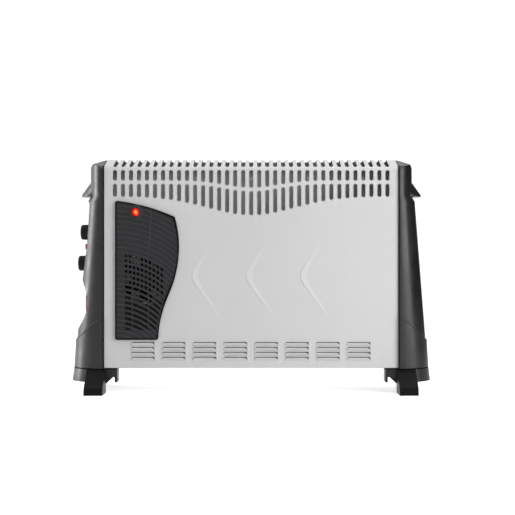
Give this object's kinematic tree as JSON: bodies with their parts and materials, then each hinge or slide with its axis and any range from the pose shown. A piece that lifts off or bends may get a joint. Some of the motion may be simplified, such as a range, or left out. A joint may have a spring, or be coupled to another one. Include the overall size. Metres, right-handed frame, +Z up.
{
  "type": "convector heater",
  "caption": "Free-standing convector heater with a vented steel casing, moulded end caps on feet, side knobs, timer dial and a fan behind a ribbed grille.",
  "frame": {"origin": "on the floor under the middle of the heater", "axes": "+X to the right seen from the front, +Y to the back, +Z up"},
  "size_m": [0.595, 0.2, 0.382],
  "materials": {
    "white_paint": "satin white stove enamel",
    "galvanised_steel": "bare galvanised sheet",
    "black_plastic": "finely textured black moulding",
    "grille_plastic": "charcoal moulding",
    "knob_plastic": "black, satin sheen",
    "red_lens": "clear red lens",
    "red_plastic": "red moulding",
    "white_plastic": "white moulding",
    "switch_plastic": "dark phenolic moulding",
    "zinc_steel": "zinc plated",
    "lamination_steel": "varnished steel stack",
    "copper_winding": "enamelled copper winding",
    "fin_aluminium": "bare extruded aluminium",
    "ceramic": "off-white ceramic"
  },
  "bodies": {
    "casing": {"front_panel": "white_paint", "rear_panel": "white_paint", "base_plate": "galvanised_steel", "left_side_plate": "galvanised_steel", "right_side_plate": "galvanised_steel", "cutout_bracket": "galvanised_steel", "motor_bracket": "galvanised_steel", "motor_rear_bracket": "galvanised_steel", "left_end_cap": "black_plastic", "right_end_cap": "black_plastic", "left_foot": "black_plastic", "right_foot": "black_plastic", "fan_grille": "grille_plastic", "fan_shroud": "grille_plastic", "rocker_frame": "knob_plastic", "indicator_bezel": "knob_plastic", "cord_gland": "knob_plastic", "indicator_lens": "red_lens", "timer_face": "white_plastic", "terminal_block": "white_plastic", "thermostat_switch_body": "switch_plastic", "mode_switch_body": "switch_plastic", "fan_switch_body": "switch_plastic", "timer_body": "switch_plastic", "thermal_cutout": "switch_plastic", "cap_screws": "zinc_steel", "foot_screws": "zinc_steel", "panel_screws": "zinc_steel", "motor_stator": "lamination_steel", "motor_coil": "copper_winding", "element_upper": "fin_aluminium", "element_lower": "fin_aluminium", "element_insulators": "ceramic"},
    "thermostat": {"thermostat_knob": "knob_plastic", "thermostat_spindle": "zinc_steel"},
    "mode": {"mode_knob": "knob_plastic", "mode_spindle": "zinc_steel"},
    "rocker": {"fan_rocker": "red_plastic"},
    "dial": {"timer_dial": "white_plastic", "timer_segments": "red_plastic"},
    "override": {"timer_override": "red_plastic"},
    "fan": {"fan_impeller": "grille_plastic", "motor_shaft": "zinc_steel"}
  },
  "joints": [
    {"name": "thermostat_turn", "type": "hinge", "parent": "casing", "child": "thermostat", "pos_m": [-0.27, 0, 0.2615], "axis": [1, 0, 0], "range_deg": [0, 270]},
    {"name": "mode_turn", "type": "hinge", "parent": "casing", "child": "mode", "pos_m": [-0.274, 0, 0.21], "axis": [1, 0, 0], "range_deg": [0, 135]},
    {"name": "fan_rocker_tilt", "type": "hinge", "parent": "casing", "child": "rocker", "pos_m": [-0.26987, 0, 0.2375], "axis": [0, 0, 1], "range_deg": [-8, 8]},
    {"name": "timer_turn", "type": "hinge", "parent": "casing", "child": "dial", "pos_m": [-0.27, 0, 0.1437], "axis": [-1, 0, 0], "continuous": true},
    {"name": "timer_override_slide", "type": "slide", "parent": "casing", "child": "override", "axis": [0, 1, 0], "range_m": [0, 0.006]},
    {"name": "fan_spin", "type": "hinge", "parent": "casing", "child": "fan", "pos_m": [-0.1715, -0.03, 0.186], "axis": [0, 1, 0], "continuous": true}
  ]
}
